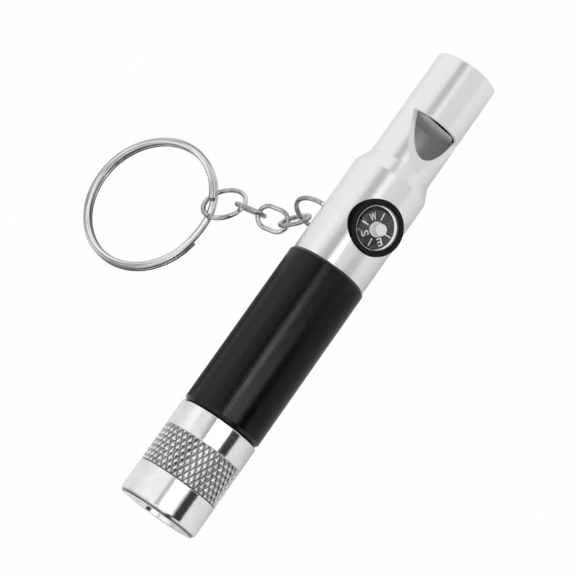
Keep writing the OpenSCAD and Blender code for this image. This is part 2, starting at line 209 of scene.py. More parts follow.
# The table is matt white to the pieces. The camera looks almost through it at the white room,
# so that it keeps a faint shadow and a ring that swings below it still shows.
table = Finish("table_white")
see_through = table.node("BsdfTransparent", {}, {"Color": grey(1.0)})
matt = table.node("BsdfDiffuse", {}, {"Color": grey(0.82)})
seen = 0.98 * table.node("LightPath")
table.output(table.node("MixShader", {}, {0: seen, 1: matt, 2: see_through}))
table_reach, table_drop = 3000, 0.05
table_corners = ((-1, -1), (1, -1), (1, 1), (-1, 1))
stage_sheet(
    "table",
    [(a * table_reach, b * table_reach, -table_drop) for a, b in table_corners],
    [(0, 1, 2, 3)],
    table.owner,
)

# On the arch, x is the place along the tube in millimetres, and across is the angle round the
# tube in degrees, plus on the camera's side. The torch head, the black tube and the whistle
# each reflect their own stretch of it. In front of the torch it holds dim cards with a few
# bright panes for the lamp's cone and the bevel, and its far end is dark.
tent_radius, tent_from, tent_to, tent_side = 250, -3000, 600, 92
tent = Finish("tent_cards")
x, y, z = tent.axes(tent.place())
x = x / MM
across = tent.sum("ARCTAN2", axis_y * MM - y, z - axis_z * MM) * (180 / math.pi)
over_head = 1 - x.rise(1.5, 3.5)
over_body = x.rise(46.5, 50)
over_tube = 1 - over_head - over_body
along = x.rise(0, 50)

# The head's cards: one dark gap, a brighter card beside it and a dark lower edge.
head_light = 0.78 + 0.2 * across.rise(-tent_side, -20) - 0.48 * across.band(9, 19, 2.5)
head_light += 0.22 * across.band(24, 57, 2.0) - 0.95 * across.rise(60, 68)

# The tube's cards: dim, with a narrow bright streak that widens and fades towards the whistle,
# and a wide softer one below it.
tube_light = 0.7 + 0.4 * across.rise(-71, -38) - 0.5 * across.rise(-33, -25)
tube_light -= 0.5 * across.rise(-8, 8)
streak_at = 21 - 10 * along
tube_light += (6.6 - 5.7 * along) * (across - streak_at).band(0, 10 + 8 * along, 1.2)
tube_light += (3.3 - 3.1 * x.rise(0, 34)) * across.band(32, 64, 1.5)
tube_light -= (0.1 - 0.3 * along) * across.rise(62, 68)

# The whistle's cards: bright, with one grey card overhead that drifts towards the mouth.
body_light = 0.9 - 0.4 * (across - 9 * x.rise(85, 100)).band(-15, 11, 3)
body_light += 0.03 * across.band(18, 30, 2) - 0.17 * across.rise(28, 36)

light = over_head * head_light + over_tube * tube_light + over_body * body_light
light *= 1 - x.band(-215, -65, 7) * (0.35 + 0.6 * across.rise(-50, 0))
light *= x.rise(-1100, -800)
panes = tent.noise(tent.place(), 24.0).rise(0.4, 0.6)
light += 4 * x.band(-150, -88, 6) * across.band(-5, 38, 5) * panes
shade = tent.node("CombineColor", {}, {"Red": light, "Green": light, "Blue": light})
tent.output(tent.node("Emission", {}, {"Color": shade, "Strength": 1.0}))
turns = [math.radians(a) for a in range(-tent_side, tent_side + 1, 4)]
arch = stage_sheet(
    "light_tent",
    [
        (end, axis_y - tent_radius * math.sin(a), axis_z + tent_radius * math.cos(a))
        for end in (tent_from, tent_to)
        for a in turns
    ],
    [(i, i + 1, len(turns) + i + 1, len(turns) + i) for i in range(len(turns) - 1)],
    tent.owner,
)

# A dark card on the table, under the torch tube alone, keeps the tube's lower sides dark. Its
# outer corners lie further towards the whistle, because the camera looks from the torch's end.
card = Finish("dark_card")
x, y, z = card.axes(card.place())
shade = card.tones((axis_y * MM - y).rise(-0.01, 0.01), 0.2, 0.42)
card.output(card.node("Emission", {}, {"Color": shade, "Strength": 1.0}))
card_from, card_to, card_reach, card_lift = -26.4, 2.5, 280, 0.02
drift_from, drift_to = 34, 40
flag = stage_sheet(
    "dark_card",
    [
        (card_from, axis_y, card_lift),
        (card_from + drift_from, axis_y - card_reach, card_lift),
        (card_to + drift_to, axis_y - card_reach, card_lift),
        (card_to, axis_y, card_lift),
        (card_to + drift_to, axis_y + card_reach, card_lift),
        (card_from + drift_from, axis_y + card_reach, card_lift),
    ],
    [(0, 1, 2, 3), (0, 3, 4, 5)],
    card.owner,
)
for sheet in (arch, flag):
    for ray in ("camera", "diffuse", "shadow", "volume_scatter"):
        setattr(sheet, "visible_" + ray, False)


# The torch head: turned from bright aluminium and screwed onto the tube's neck. It has a
# bevelled front, a band of diamond knurl pressed between two plain bands, and a polished
# cone round the lamp.
def eased(corners, closed=True, steps=5):
    """The points and outward normals of a half section that runs clockwise, as (x, radius,
    normal x, normal radius). Each corner is (x, radius, rounding)."""
    made = []
    count = len(corners)
    for i, (x, r, round_by) in enumerate(corners):
        here = np.array((x, r))
        leg_in = here - np.array(corners[i - 1][:2])
        leg_out = np.array(corners[(i + 1) % count][:2]) - here
        if not closed and i in (0, count - 1):
            run = leg_out if i == 0 else leg_in
            run = run / np.linalg.norm(run)
            made.append((x, r, -run[1], run[0]))
            continue
        room_in, room_out = np.linalg.norm(leg_in), np.linalg.norm(leg_out)
        leg_in, leg_out = leg_in / room_in, leg_out / room_out
        face_in, face_out = np.array((-leg_in[1], leg_in[0])), np.array((-leg_out[1], leg_out[0]))
        bend = math.acos(max(-1.0, min(1.0, float(face_in @ face_out))))
        if bend < 1e-3:
            made.append((x, r, *face_in))
            continue
        back = min(round_by * math.tan(bend / 2), 0.45 * room_in, 0.45 * room_out)
        radius = back / math.tan(bend / 2)
        side = -1 if leg_in[0] * leg_out[1] - leg_in[1] * leg_out[0] < 0 else 1
        centre = here - leg_in * back + side * face_in * radius
        for k in range(steps + 1):
            u = k / steps
            face = math.sin((1 - u) * bend) * face_in + math.sin(u * bend) * face_out
            face = face / np.linalg.norm(face)
            made.append((*(centre - side * face * radius), *face))
    return made


def turned(section, closed=True, around=256, place=None):
    """A solid turned from a half section: its points, faces and normals, in millimetres. With
    no place given it lies on the tube's axis."""
    section = np.array(section)
    angles = np.linspace(0, 2 * math.pi, around, endpoint=False)
    points, normals, rows = [], [], []
    for x, r, face_x, face_r in section:
        spin = angles if r > 1e-6 else angles[:1]
        rows.append(range(len(points), len(points) + len(spin)))
        for a in spin:
            points.append((x, -r * math.sin(a), r * math.cos(a)))
            lean = face_r if r > 1e-6 else 0.0
            normals.append((face_x, -lean * math.sin(a), lean * math.cos(a)))
    faces = []
    for i in range(len(rows) if closed else len(rows) - 1):
        one, two = rows[i], rows[(i + 1) % len(rows)]
        for k in range(around):
            n = (k + 1) % around
            loop = [one[k % len(one)], one[n % len(one)], two[n % len(two)], two[k % len(two)]]
            faces.append(tuple(dict.fromkeys(loop)))
    points, normals = np.array(points), np.array(normals)
    if place is None:
        return points + np.array(front_point), faces, normals
    spin = np.array(place.to_3x3())
    return points @ spin.T + np.array(place.translation), faces, normals @ spin.T


def piece(name, parts, material, body, slot, *nodes):
    """One object from several lots of points, faces and, on rounded pieces, normals. It rides
    on a body and may stand for nodes of the frame."""
    points, faces, normals, start = [], [], [], 0
    for lot_points, lot_faces, *lot_normals in parts:
        points.append(lot_points)
        normals += lot_normals
        faces += [tuple(start + i for i in face) for face in lot_faces]
        start += len(lot_points)
    mesh = bpy.data.meshes.new(name)
    mesh.from_pydata(np.concatenate(points) * MM, [], faces)
    if normals:
        mesh.polygons.foreach_set("use_smooth", [True] * len(mesh.polygons))
        mesh.normals_split_custom_set_from_vertices(np.concatenate(normals).tolist())
    mesh.materials.append(material)
    made = bpy.data.objects.new(name, mesh)
    scene.collection.objects.link(made)
    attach(made, body)
    if nodes:
        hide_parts(*nodes)


def off_axis(finish):
    """The place in millimetres: x from the tube's front, and y and z from its axis."""
    x, y, z = finish.axes(finish.place())
    return x / MM - tube_front, y / MM - axis_y, z / MM - axis_z


tube_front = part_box("head")[0][0] / MM
front_point = (tube_front, axis_y, axis_z)
head_r, head_len = 7.0, 17.2
bevel_len, bevel_in, cone_r, cone_end, lamp_r = 0.6, 0.45, 4.5, 4.0, 2.6
hollow_at, hollow_r, thread_at, thread_r = 5.0, 5.9, 12.8, 6.6
knurl_at, knurl_len, knurl_depth = 6.0, 6.7, 0.3
knurl_starts, knurl_rows, groove_half = 40, 7, 0.34
root_r = head_r - knurl_depth - 0.2
root_from, root_to = knurl_at - 0.02, knurl_at + knurl_len + 0.02
head_section = eased(
    [
        (0.0, cone_r, 0.08),
        (0.0, head_r - bevel_in, 0.12),
        (bevel_len, head_r, 0.15),
        (root_from - 0.26, head_r, 0.06),
        (root_from, head_r - 0.27, 0.03),
        (root_from, root_r, 0.02),
        (root_to, root_r, 0.02),
        (root_to, head_r - 0.2, 0.03),
        (root_to + 0.18, head_r, 0.06),
        (head_len, head_r, 0.25),
        (head_len, thread_r, 0.05),
        (thread_at, thread_r, 0.02),
        (thread_at, hollow_r, 0.02),
        (hollow_at, hollow_r, 0.02),
        (hollow_at, lamp_r, 0.02),
        (cone_end, lamp_r, 0.1),
    ]
)


def groove(across):
    """How deep a V groove is: 1 in its middle and 0 on the flat between two grooves."""
    return np.clip(1 - np.abs(across % 1 - 0.5) / groove_half, 0, 1)


# The knurl is a sheet of its own, which dips at both ends into the groove of the section.
columns, rows = 16 * knurl_starts, 9 * knurl_rows
i, j = np.meshgrid(
    np.linspace(0, 2 * knurl_starts, columns, endpoint=False), np.linspace(0, knurl_rows, rows)
)
radius = head_r - knurl_depth * np.maximum(groove((i + j) / 2), groove((i - j) / 2))
angle = i * math.pi / knurl_starts
knurl_x = knurl_at + knurl_len * j / knurl_rows
grid = np.stack([knurl_x, -radius * np.sin(angle), radius * np.cos(angle)], -1)
rim = grid[[0, -1]]
rim[..., 1:] *= ((root_r - 0.05) / np.hypot(rim[..., 1], rim[..., 2]))[..., None]
grid = np.concatenate([rim[:1], grid, rim[1:]])
slopes = np.cross(np.roll(grid, -1, 1) - np.roll(grid, 1, 1), np.gradient(grid, axis=0))
slopes /= np.maximum(np.linalg.norm(slopes, axis=-1, keepdims=True), 1e-9)
knurl = (
    grid.reshape(-1, 3) + np.array(front_point),
    [
        (r * columns + c, r * columns + d, (r + 1) * columns + d, (r + 1) * columns + c)
        for r in range(rows + 1)
        for c in range(columns)
        for d in [(c + 1) % columns]
    ],
    slopes.reshape(-1, 3),
)

# The knurl's valleys are darker, which is painted shade, and a little rougher. The marks of the
# lathe run round the head.
bright = Finish("bright_aluminium")
place = bright.place()
x, y, z = off_axis(bright)
spread = y * y + z * z
# The valley mask darkens the colour as painted shade, and also roughens the finish.
valley_shade_mask = 1 - spread.rise((root_r + 0.15) ** 2, (head_r - 0.02) ** 2)
valley_shade_mask *= spread.rise((root_r - 0.3) ** 2, (root_r - 0.1) ** 2)
marks = bright.noise(bright.stretched(place, (6000, 900, 900)), 1.0, 3.0)
cloud = bright.noise(place, 400.0, 2.0)
piece(
    "torch_head",
    [turned(head_section), knurl],
    bright.surface(
        Base_Color=bright.tones(0.2 * cloud + 0.8 * valley_shade_mask, 1.0, 0.05),
        Metallic=1.0,
        Roughness=0.08 + 0.12 * marks + 0.08 * valley_shade_mask,
        Normal=bright.bump(marks, 0.006),
    ),
    "torch_head",
    "bright_aluminium",
    "head",
)


# The lamp: a clear 5 mm lamp with a domed end, pressed into a white holder over a small
# board. The holder and the board sit inside the head and barely show down the cone.
def carried(name, material):
    """A node of the frame keeps its shape and takes a finish."""
    for held in frame["nodes"][name].material_slots:
        held.material = material


def grained(name, scale, dark, light, rough, wear=0.0, relief=0.0, **sockets):
    """A finish with one grain in its colour. The grain also roughens it by wear and raises it
    by relief, where they are given. Three scales draw the grain out along X, Y and Z."""
    made = Finish(name)
    place = made.place()
    if isinstance(scale, tuple):
        place, scale = made.stretched(place, scale), 1.0
    grain = made.noise(place, scale)
    if wear:
        rough = rough + wear * grain
    if relief:
        sockets["Normal"] = made.bump(grain, relief)
    return made.surface(Base_Color=made.tones(grain, dark, light), Roughness=rough, **sockets)


carried("led", grained("clear_epoxy", 900, 0.86, 0.97, 0.06, IOR=1.5, Transmission_Weight=0.7))
carried("led_holder", grained("white_plastic", 2500, 0.74, 0.8, 0.5, relief=0.01))
carried("contact_board", grained("board", (800, 4000, 4000), 0.1, 0.16, 0.45, relief=0.01))


# The torch tube: drawn aluminium, turned, then anodised black with a satin surface that still
# shows the fine lines of the draw. A neck at its front takes the head's thread.
tube_at, seam_at, tube_r = 17.3, 47.4, 7.0
neck_at, neck_r, cells_r, socket_at, socket_r = 13.6, 6.5, 6.1, 40.15, 6.5
tube_section = eased(
    [
        (neck_at, cells_r, 0.02),
        (neck_at, neck_r, 0.08),
        (tube_at, neck_r, 0.02),
        (tube_at + 0.75, tube_r, 0.12),
        (seam_at - 0.25, tube_r, 0.2),
        (seam_at, tube_r - 0.25, 0.1),
        (seam_at, socket_r, 0.02),
        (socket_at, socket_r, 0.02),
        (socket_at, cells_r, 0.02),
    ]
)
black = Finish("black_anodised")
place = black.place()
lines = black.noise(black.stretched(place, (120, 6000, 6000)), 1.0, 3.0)
specks = black.noise(place, 5200.0, 1.0)
piece(
    "torch_tube",
    [turned(tube_section)],
    black.surface(
        Base_Color=black.tones(specks, 0.001, 0.004),
        Specular_IOR_Level=0.3,
        Roughness=0.06 + 0.1 * lines,
        Normal=black.bump(lines + 0.8 * specks, 0.016),
    ),
    "whistle",
    "black_aluminium",
    "battery_tube",
)


# Inside the tube: four button cells in an insulating sleeve, a spring behind them and a soft
# ring in front of the neck. All of it is closed in, and keeps the shapes of the frame.
cell_steel = grained("cell_steel", (200, 5000, 5000), 0.55, 0.7, 0.25, wear=0.15, Metallic=1.0)
for number in (1, 2, 3, 4):
    carried(f"cell_{number}", cell_steel)
carried("battery_sleeve", grained("sleeve_plastic", 1800, 0.6, 0.68, 0.55))
carried("contact_spring", grained("spring_steel", 3000, 0.5, 0.62, 0.2, wear=0.15, Metallic=1.0))
carried("seal_ring", grained("seal_rubber", 1500, 0.02, 0.035, 0.7))


# The whistle: one turned aluminium tube, satin anodised in its own silver. The window is
# milled across the mouth tube as a slope, the compass sits in a flat-bottomed pocket, and a
# curved eye for the chain is drilled just under the surface at the back.
body_at, shoulder_at, mouth_at, end_at = 47.45, 65.3, 67.9, 87.7
spigot_at, spigot_r, body_r, mouth_r = 40.25, 6.45, 6.7, 5.5
recess_to, recess_r, chamber_at, chamber_r = 41.05, 4.1, 62.0, 4.75
whistle_section = eased(
    [
        (recess_to, 0.0, 0.0),
        (recess_to, recess_r, 0.02),
        (spigot_at, recess_r, 0.03),
        (spigot_at, spigot_r, 0.05),
        (body_at, spigot_r, 0.02),
        (body_at, body_r - 0.12, 0.03),
        (body_at + 0.16, body_r, 0.06),
        (shoulder_at, body_r, 0.35),
        (mouth_at, mouth_r, 0.3),
        (end_at, mouth_r, 0.65),
        (end_at, chamber_r, 0.12),
        (chamber_at, chamber_r, 0.05),
        (chamber_at, 0.0, 0.0),
    ],
    closed=False,
)

# The window and the compass face the same way: out of the tube at face_angle from upright.
# Uphill goes round the tube from there, and ahead goes along it to the mouth.
face_angle = math.radians(51)
out = Vector((0, -math.sin(face_angle), math.cos(face_angle)))
uphill = Vector((0, out.z, -out.y))
ahead = Vector((1, 0, 0))


def facing(x):
    """The place of a round piece that looks out of the tube at the window's angle."""
    spin = Matrix((out, ahead, uphill)).transposed().to_4x4()
    return Matrix.Translation((tube_front + x, axis_y, axis_z)) @ spin


def cutter(points, faces):
    """A loose solid for cutting the whistle. It is taken away again below."""
    mesh = bpy.data.meshes.new("cutter")
    mesh.from_pydata(np.array(points) * MM, [], faces)
    made = bpy.data.objects.new("cutter", mesh)
    scene.collection.objects.link(made)
    return made


def as_mesh(held):
    """The mesh of an object as its modifiers or its outlines make it."""
    bpy.context.view_layer.update()
    graph = bpy.context.evaluated_depsgraph_get()
    return bpy.data.meshes.new_from_object(held.evaluated_get(graph))


def circle(radius, at, steps):
    """A round half section at a distance from its own axis, with its normals."""
    spin = np.linspace(0, 2 * math.pi, steps, endpoint=False)
    ways = [(-math.cos(a), math.sin(a)) for a in spin]
    return [(radius * along, at + radius * out_by, along, out_by) for along, out_by in ways]


def lying(node, turn):
    """The place of a ring or link: the middle of its node's box, and its turn in degrees. Its
    own X runs along its axis."""
    low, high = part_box(node)
    centre = (Vector(low) + Vector(high)) / 2 / MM
    spin = Euler([math.radians(a) for a in turn]).to_matrix()
    spin = Matrix((spin.col[2], spin.col[0], spin.col[1])).transposed()
    return Matrix.Translation(centre) @ spin.to_4x4()


window_at, edge_at, window_depth = 68.5, 76.8, 3.15
cut_top, cut_side = 12, 9
edge_low = mouth_r - window_depth
profile = ((window_at, mouth_r), (edge_at, edge_low), (edge_at, cut_top), (window_at, cut_top))
window = cutter(
    [
        Vector(front_point) + ahead * x + out * h + uphill * w
        for w in (-cut_side, cut_side)
        for x, h in profile
    ],
    [(0, 1, 2, 3), (7, 6, 5, 4), (4, 5, 1, 0), (5, 6, 2, 1), (6, 7, 3, 2), (7, 4, 0, 3)],
)
compass_at, cup_low, cup_top, cup_r, cup_fit = 56.6, 3.0, 7.0, 4.62, 0.04
pocket_low, pocket_r = cup_low - cup_fit, cup_r + cup_fit
pocket_section = eased(
    [(pocket_low, 0, 0), (pocket_low, pocket_r, 0.05), (cut_top, pocket_r, 0.05), (cut_top, 0, 0)],
    closed=False,
)
pocket = cutter(*turned(pocket_section, closed=False, around=160, place=facing(compass_at))[:2])
eye_ring_r, eye_bore_r, eye_turn = 3.8, 0.75, (-71.9, 10.1, 103.5)
eye_place = lying("eye_ring", eye_turn)
eye = cutter(*turned(circle(eye_bore_r, eye_ring_r, 32), around=96, place=eye_place)[:2])

points, faces, normals = turned(whistle_section, closed=False, around=360)
blank = cutter(points, faces)
for tool in (window, pocket, eye):
    cut = blank.modifiers.new("cut", "BOOLEAN")
    cut.operation, cut.solver, cut.object = "DIFFERENCE", "EXACT", tool
shaped = as_mesh(blank)
for tool in (window, pocket, eye, blank):
    bpy.data.objects.remove(tool)

# Turned faces take the smooth normal of the section at its nearest point, and cut faces, which
# lie off the section or lean away from it, stay flat.
on_section, same_lean = 0.03, 0.85
corners = np.array(whistle_section)
spots = np.array([v.co[:] for v in shaped.vertices]) / MM - np.array(front_point)
reach = np.hypot(spots[:, 1], spots[:, 2])
flat = np.stack([spots[:, 0], reach], -1)
best = np.full(len(flat), 1e9)
face_xr = np.zeros((len(flat), 2))
for one, two in zip(corners[:-1], corners[1:]):
    run = two[:2] - one[:2]
    u = np.clip((flat - one[:2]) @ run / max(run @ run, 1e-12), 0, 1)
    gap = np.linalg.norm(flat - one[:2] - u[:, None] * run, axis=1)
    near = gap < best - 1e-6
    best[near] = gap[near]
    face_xr[near] = ((1 - u)[:, None] * one[2:] + u[:, None] * two[2:])[near]
outward = spots[:, 1:] / np.maximum(reach, 1e-9)[:, None]
smooth = np.concatenate([face_xr[:, :1], face_xr[:, 1:] * outward], 1)
smooth /= np.maximum(np.linalg.norm(smooth, axis=1, keepdims=True), 1e-9)
corner_normals = []
for face in shaped.polygons:
    own = np.array(face.normal)
    for v in face.vertices:
        is_turned = smooth[v] @ own > same_lean and best[v] < on_section
        corner_normals.append(smooth[v] if is_turned else own)
shaped.polygons.foreach_set("use_smooth", [True] * len(shaped.polygons))
shaped.normals_split_custom_set([n.tolist() for n in corner_normals])
shaped.materials.clear()

# The bore is duller: rougher, half metal, and darker in colour, which is painted shade. The
# window's square edge is made matt and pale, which is a painted highlight.
satin = Finish("satin_aluminium")
place = satin.place()
marks = satin.noise(satin.stretched(place, (5200, 900, 900)), 1.0, 3.0, 0.6)
cloud = satin.noise(place, 260.0, 2.0)
x, y, z = off_axis(satin)
# Inside the bore: a duller finish, and a darker colour that is painted shade.
bore = 1 - (y * y + z * z).rise((chamber_r + 0.02) ** 2, (chamber_r + 0.1) ** 2)
# Painted highlight: the window's cut edge face is made pale and not metal, so that it shows as a
# bright line.
edge_painted_highlight = x.band(edge_at - 0.05, edge_at + 0.02, 0.02)
shaped.materials.append(
    satin.surface(
        Base_Color=satin.tones(0.9 * bore + 0.12 * cloud, 0.92, 0.66),
        Metallic=1.0 - 0.5 * bore - edge_painted_highlight,
        Roughness=0.17 + 0.1 * marks + 0.2 * bore,
        Normal=satin.bump(marks, 0.007),
    )
)
whistle = bpy.data.objects.new("whistle_tube", shaped)
scene.collection.objects.link(whistle)
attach(whistle, "whistle")
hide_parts("whistle_body")


# The plug: a grey moulded rod pressed into the mouth, with one flat that leaves a thin slot
# for the breath between it and the tube.
def face_height(finish):
    """How far a place lies from the tube's axis, the way that the window and compass face."""
    x, y, z = off_axis(finish)
    return z * math.cos(face_angle) - y * math.sin(face_angle)


# Painted shade: the plug's flat under the slot, and its round edge on the slot's side, are
# coloured near black.
flat_at, round_at = 3.5, 4.3
plug = Finish("plug_plastic")
grain = plug.noise(plug.place(), 2200.0)
x, y, z = off_axis(plug)
height = face_height(plug)
edge_painted_shade = (y * y + z * z).rise(round_at**2, (round_at + 0.12) ** 2) * height.rise(0.5, 1.5)
slot_painted_shade = height.rise(flat_at, flat_at + 0.08) + edge_painted_shade
carried(
    "windway_plug",
    plug.surface(
        Base_Color=plug.tones(slot_painted_shade + 0.1 * grain, 0.98, 0.01),
        Roughness=0.45,
        Normal=plug.bump(grain, 0.01),
    ),
)


# The compass: a glossy black cup let into the tube's side, with a clear domed lens over it.
# The dial hangs on a pin under a light cap, and carries four letters and four short marks.
rim_r, seat_at, well_r, well_low = 3.84, 6.6, 3.65, 3.5
case_section = eased(
    [
        (cup_low, 0.0, 0.0),
        (cup_low, cup_r, 0.05),
        (cup_top, cup_r, 0.16),
        (cup_top, rim_r, 0.06),
        (seat_at, rim_r, 0.02),
        (seat_at, well_r, 0.04),
        (well_low, well_r, 0.05),
        (well_low, 0.0, 0.0),
    ],
    closed=False,
)
gloss = Finish("case_plastic")
ripple = gloss.noise(gloss.place(), 1400.0)
on_rim = face_height(gloss).rise(cup_top - 0.2, cup_top - 0.08)
piece(
    "compass_cup",
    [turned(case_section, closed=False, around=192, place=facing(compass_at))],
    gloss.surface(
        Base_Color=gloss.tones(ripple, 0.001, 0.003),
        Roughness=0.3,
        Specular_IOR_Level=0.0,
        Coat_Weight=0.04 + 0.4 * on_rim,
        Coat_Roughness=0.05,
        Normal=gloss.bump(ripple, 0.008),
    ),
    "whistle",
    "case_plastic",
    "compass_case",
)

lens_r, lens_bore_r, lens_low = 3.8, 3.5, seat_at + 0.02
lens_edge, lens_rise, lens_wall = 0.3, 1.2, 0.4
dome_r = (lens_r**2 + lens_rise**2) / (2 * lens_rise)
dome_at = lens_low + lens_edge + lens_rise - dome_r


def dome(radius, lean, side, steps=24):
    """An arc of the lens from its edge to its middle, with normals to one side."""
    made = []
    for k in range(steps + 1):
        a = lean * (1 - k / steps)
        up, off = math.cos(a), math.sin(a)
        made.append((dome_at + radius * up, radius * off, side * up, side * off))
    return made


bore_lean = math.acos((lens_low - dome_at) / (dome_r - lens_wall))
lens_section = dome(dome_r - lens_wall, bore_lean, -1)[::-1]
lens_section += eased(
    [(lens_low, lens_bore_r, 0), (lens_low, lens_r, 0.06), (lens_low + lens_edge, lens_r, 0)],
    closed=False,
)
lens_section += dome(dome_r, math.asin(lens_r / dome_r), 1)

# The thin lens doesn't bend the light. It reflects more where its outer face is seen edge on.
glass = Finish("clear_plastic")
haze = glass.noise(glass.place(), 700.0)
sheen = glass.node("BsdfGlossy", {}, {"Color": grey(1.0), "Roughness": 0.03 + 0.04 * haze})
through = glass.node("BsdfTransparent", {}, {"Color": grey(0.98)})
edge_on = glass.node("Fresnel", {}, {"IOR": 1.45})
from_behind = glass.node("NewGeometry", out=6)
mirrored = edge_on * (1 - from_behind)
glass.output(glass.node("MixShader", {}, {0: mirrored, 1: through, 2: sheen}))
piece(
    "compass_window",
    [turned(lens_section, closed=False, around=160, place=facing(compass_at))],
    glass.owner,
    "whistle",
    "clear_plastic",
    "compass_lens",
)

# A light ring under the lens shows as a thin line, and as a crescent where the wall is seen.
# Little light gets in there, so its wall is given a faint glow, which is painted light, and its
# top is coloured darker.
capsule_low, capsule_top, capsule_in, capsule_out = 5.65, seat_at - 0.01, lens_bore_r, 3.6
ends = ((capsule_low, capsule_in), (capsule_low, capsule_out))
ends += ((capsule_top, capsule_out), (capsule_top, capsule_in))
capsule_section = eased([(h, r, 0.02) for h, r in ends])
pearl = Finish("capsule_white")
cloud = pearl.noise(pearl.place(), 1500.0)
darker_top = face_height(pearl).rise(capsule_top - 0.17, capsule_top - 0.03) + 0.1 * cloud
piece(
    "capsule_ring",
    [turned(capsule_section, around=160, place=facing(compass_at))],
    pearl.surface(
        Base_Color=pearl.tones(darker_top, 0.92, 0.4),
        Roughness=0.3,
        # Painted light: the wall glows though the ring is no lamp.
        Emission_Color=pearl.tones(darker_top, 1.0, 0.0),
        Emission_Strength=0.5,
    ),
    "whistle",
    "cap_plastic",
)

pivot_off, dial_top, cap_top = -0.45, 5.5985, 7.4485
brass_dark, brass_light = (0.5, 0.36, 0.16), (0.62, 0.46, 0.22)
carried("compass_dial", grained("dial_black", 2600, 0.015, 0.035, 0.4, relief=0.01))
carried("dial_magnet", grained("magnet_steel", 3000, 0.2, 0.3, 0.45, Metallic=1.0))
carried("compass_pivot", grained("brass", 3000, brass_dark, brass_light, 0.3, Metallic=1.0))

pivot = facing(compass_at) @ Matrix.Translation((0, 0, pivot_off))
flange_top, flange_r, post_r = dial_top + 0.3, 1.25, 1.0
dimple_at, dimple_r, bore_top, bore_r = cap_top - 0.05, 0.58, dial_top + 0.6, 0.35
cap_section = eased(
    [
        (dial_top, bore_r, 0.01),
        (dial_top, flange_r, 0.02),
        (flange_top, flange_r, 0.12),
        (flange_top, post_r, 0.03),
        (cap_top, post_r, 0.08),
        (cap_top, dimple_r + 0.04, 0.02),
        (dimple_at, dimple_r, 0.02),
        (dimple_at, 0.0, 0.0),
        (bore_top, 0.0, 0.0),
        (bore_top, bore_r, 0.01),
    ]
)
piece(
    "dial_post",
    [turned(cap_section, around=96, place=pivot)],
    grained("cap_plastic", 2400, 0.7, 0.9, 0.3, relief=0.01),
    "dial",
    "cap_plastic",
    "dial_cap",
)


def on_dial(angle, away, right, lift):
    """A point over the dial: away from the pin at an angle, then to the right, and up."""
    along, aside = math.cos(math.radians(angle)), math.sin(math.radians(angle))
    spot = (dial_top + lift, away * along + right * aside, away * aside - right * along)
    return (pivot @ Vector(spot))[:]


def letter(text, angle, width):
    """A flat letter on the dial, its top pointing outwards: points and faces."""
    curve = bpy.data.curves.new("letter", "FONT")
    curve.body, curve.size = text, 1.5
    curve.extrude, curve.offset = 0.015, 0.02
    held = bpy.data.objects.new("letter", curve)
    scene.collection.objects.link(held)
    mesh = as_mesh(held)
    bpy.data.objects.remove(held)
    drawn = np.array([v.co[:] for v in mesh.vertices])
    low, high = drawn[:, :2].min(0), drawn[:, :2].max(0)
    flat = ((drawn[:, :2] - low) / (high - low) - 0.5) * (width, letter_h)
    laid = [on_dial(angle, letter_at + v, u, 0.02 + h) for (u, v), h in zip(flat, drawn[:, 2])]
    return np.array(laid), [tuple(face.vertices) for face in mesh.polygons]


def tick(angle):
    """A short bar on the dial that points outwards: points and faces."""
    half = tick_w / 2
    round_it = ((tick_from, half), (tick_to, half), (tick_to, -half), (tick_from, -half))
    corners = [on_dial(angle, away, right, h) for h in (0.002, 0.035) for away, right in round_it]
    sides = [(3, 2, 1, 0), (4, 5, 6, 7), (0, 1, 5, 4), (1, 2, 6, 5), (2, 3, 7, 6), (3, 0, 4, 7)]
    return np.array(corners), sides


west, letter_h, letter_at = 53.5, 1.3, 2.1
tick_from, tick_to, tick_w = 1.6, 2.9, 0.2
lettering = (("W", 0, 1.15), ("S", 90, 0.85), ("E", 180, 0.85))
marks = [letter(text, west + turn, width) for text, turn, width in lettering]
marks += [tick(west + turn) for turn in (-45, 45, 135, 225)]
print_white = grained("print_white", 3500, 0.7, 0.85, 0.5)
print_dark = grained("print_dark", 3500, 0.05, 0.08, 0.5)
piece("dial_letters", marks, print_white, "dial", "cap_plastic")
piece("dial_north", [letter("N", west - 90, 0.95)], print_dark, "dial", "cap_plastic")


# The chain: a ring in the whistle's eye, three oval links and a larger ring, bent from round
# steel wire and nickel plated. The ends of each ring meet with a fine gap.
def swept(path, outs, section, place, rise=None, closed=True):
    """Wire along a flat path: its points, faces and normals. outs points out of the bend at
    each point, and the section's own points are (out, up, normal out, normal up)."""
    path, outs, section = np.array(path), np.array(outs), np.array(section)
    count, size = len(path), len(section)
    up, level = np.array((1.0, 0, 0)), np.zeros(count)
    centre = np.stack([level if rise is None else np.array(rise), path[:, 0], path[:, 1]], -1)
    out_of = np.stack([level, outs[:, 0], outs[:, 1]], -1)
    points = centre[:, None] + section[None, :, :1] * out_of[:, None] + section[None, :, 1:2] * up
    normals = section[None, :, 2:3] * out_of[:, None] + section[None, :, 3:] * up
    points, normals = points.reshape(-1, 3), normals.reshape(-1, 3)
    faces = []
    for i in range(count if closed else count - 1):
        n = (i + 1) % count
        for k in range(size):
            m = (k + 1) % size
            faces.append((i * size + k, n * size + k, n * size + m, i * size + m))
    if not closed:
        for i, order in ((0, 1), (count - 1, -1)):
            start = len(points)
            run = centre[1] - centre[0] if i == 0 else centre[-2] - centre[-1]
            points = np.concatenate([points, points[i * size : (i + 1) * size]])
            normals = np.concatenate([normals, np.tile(-run / np.linalg.norm(run), (size, 1))])
            faces.append(tuple(range(start, start + size))[::order])
    spin = np.array(place.to_3x3())
    return points @ spin.T + np.array(place.translation), faces, normals @ spin.T


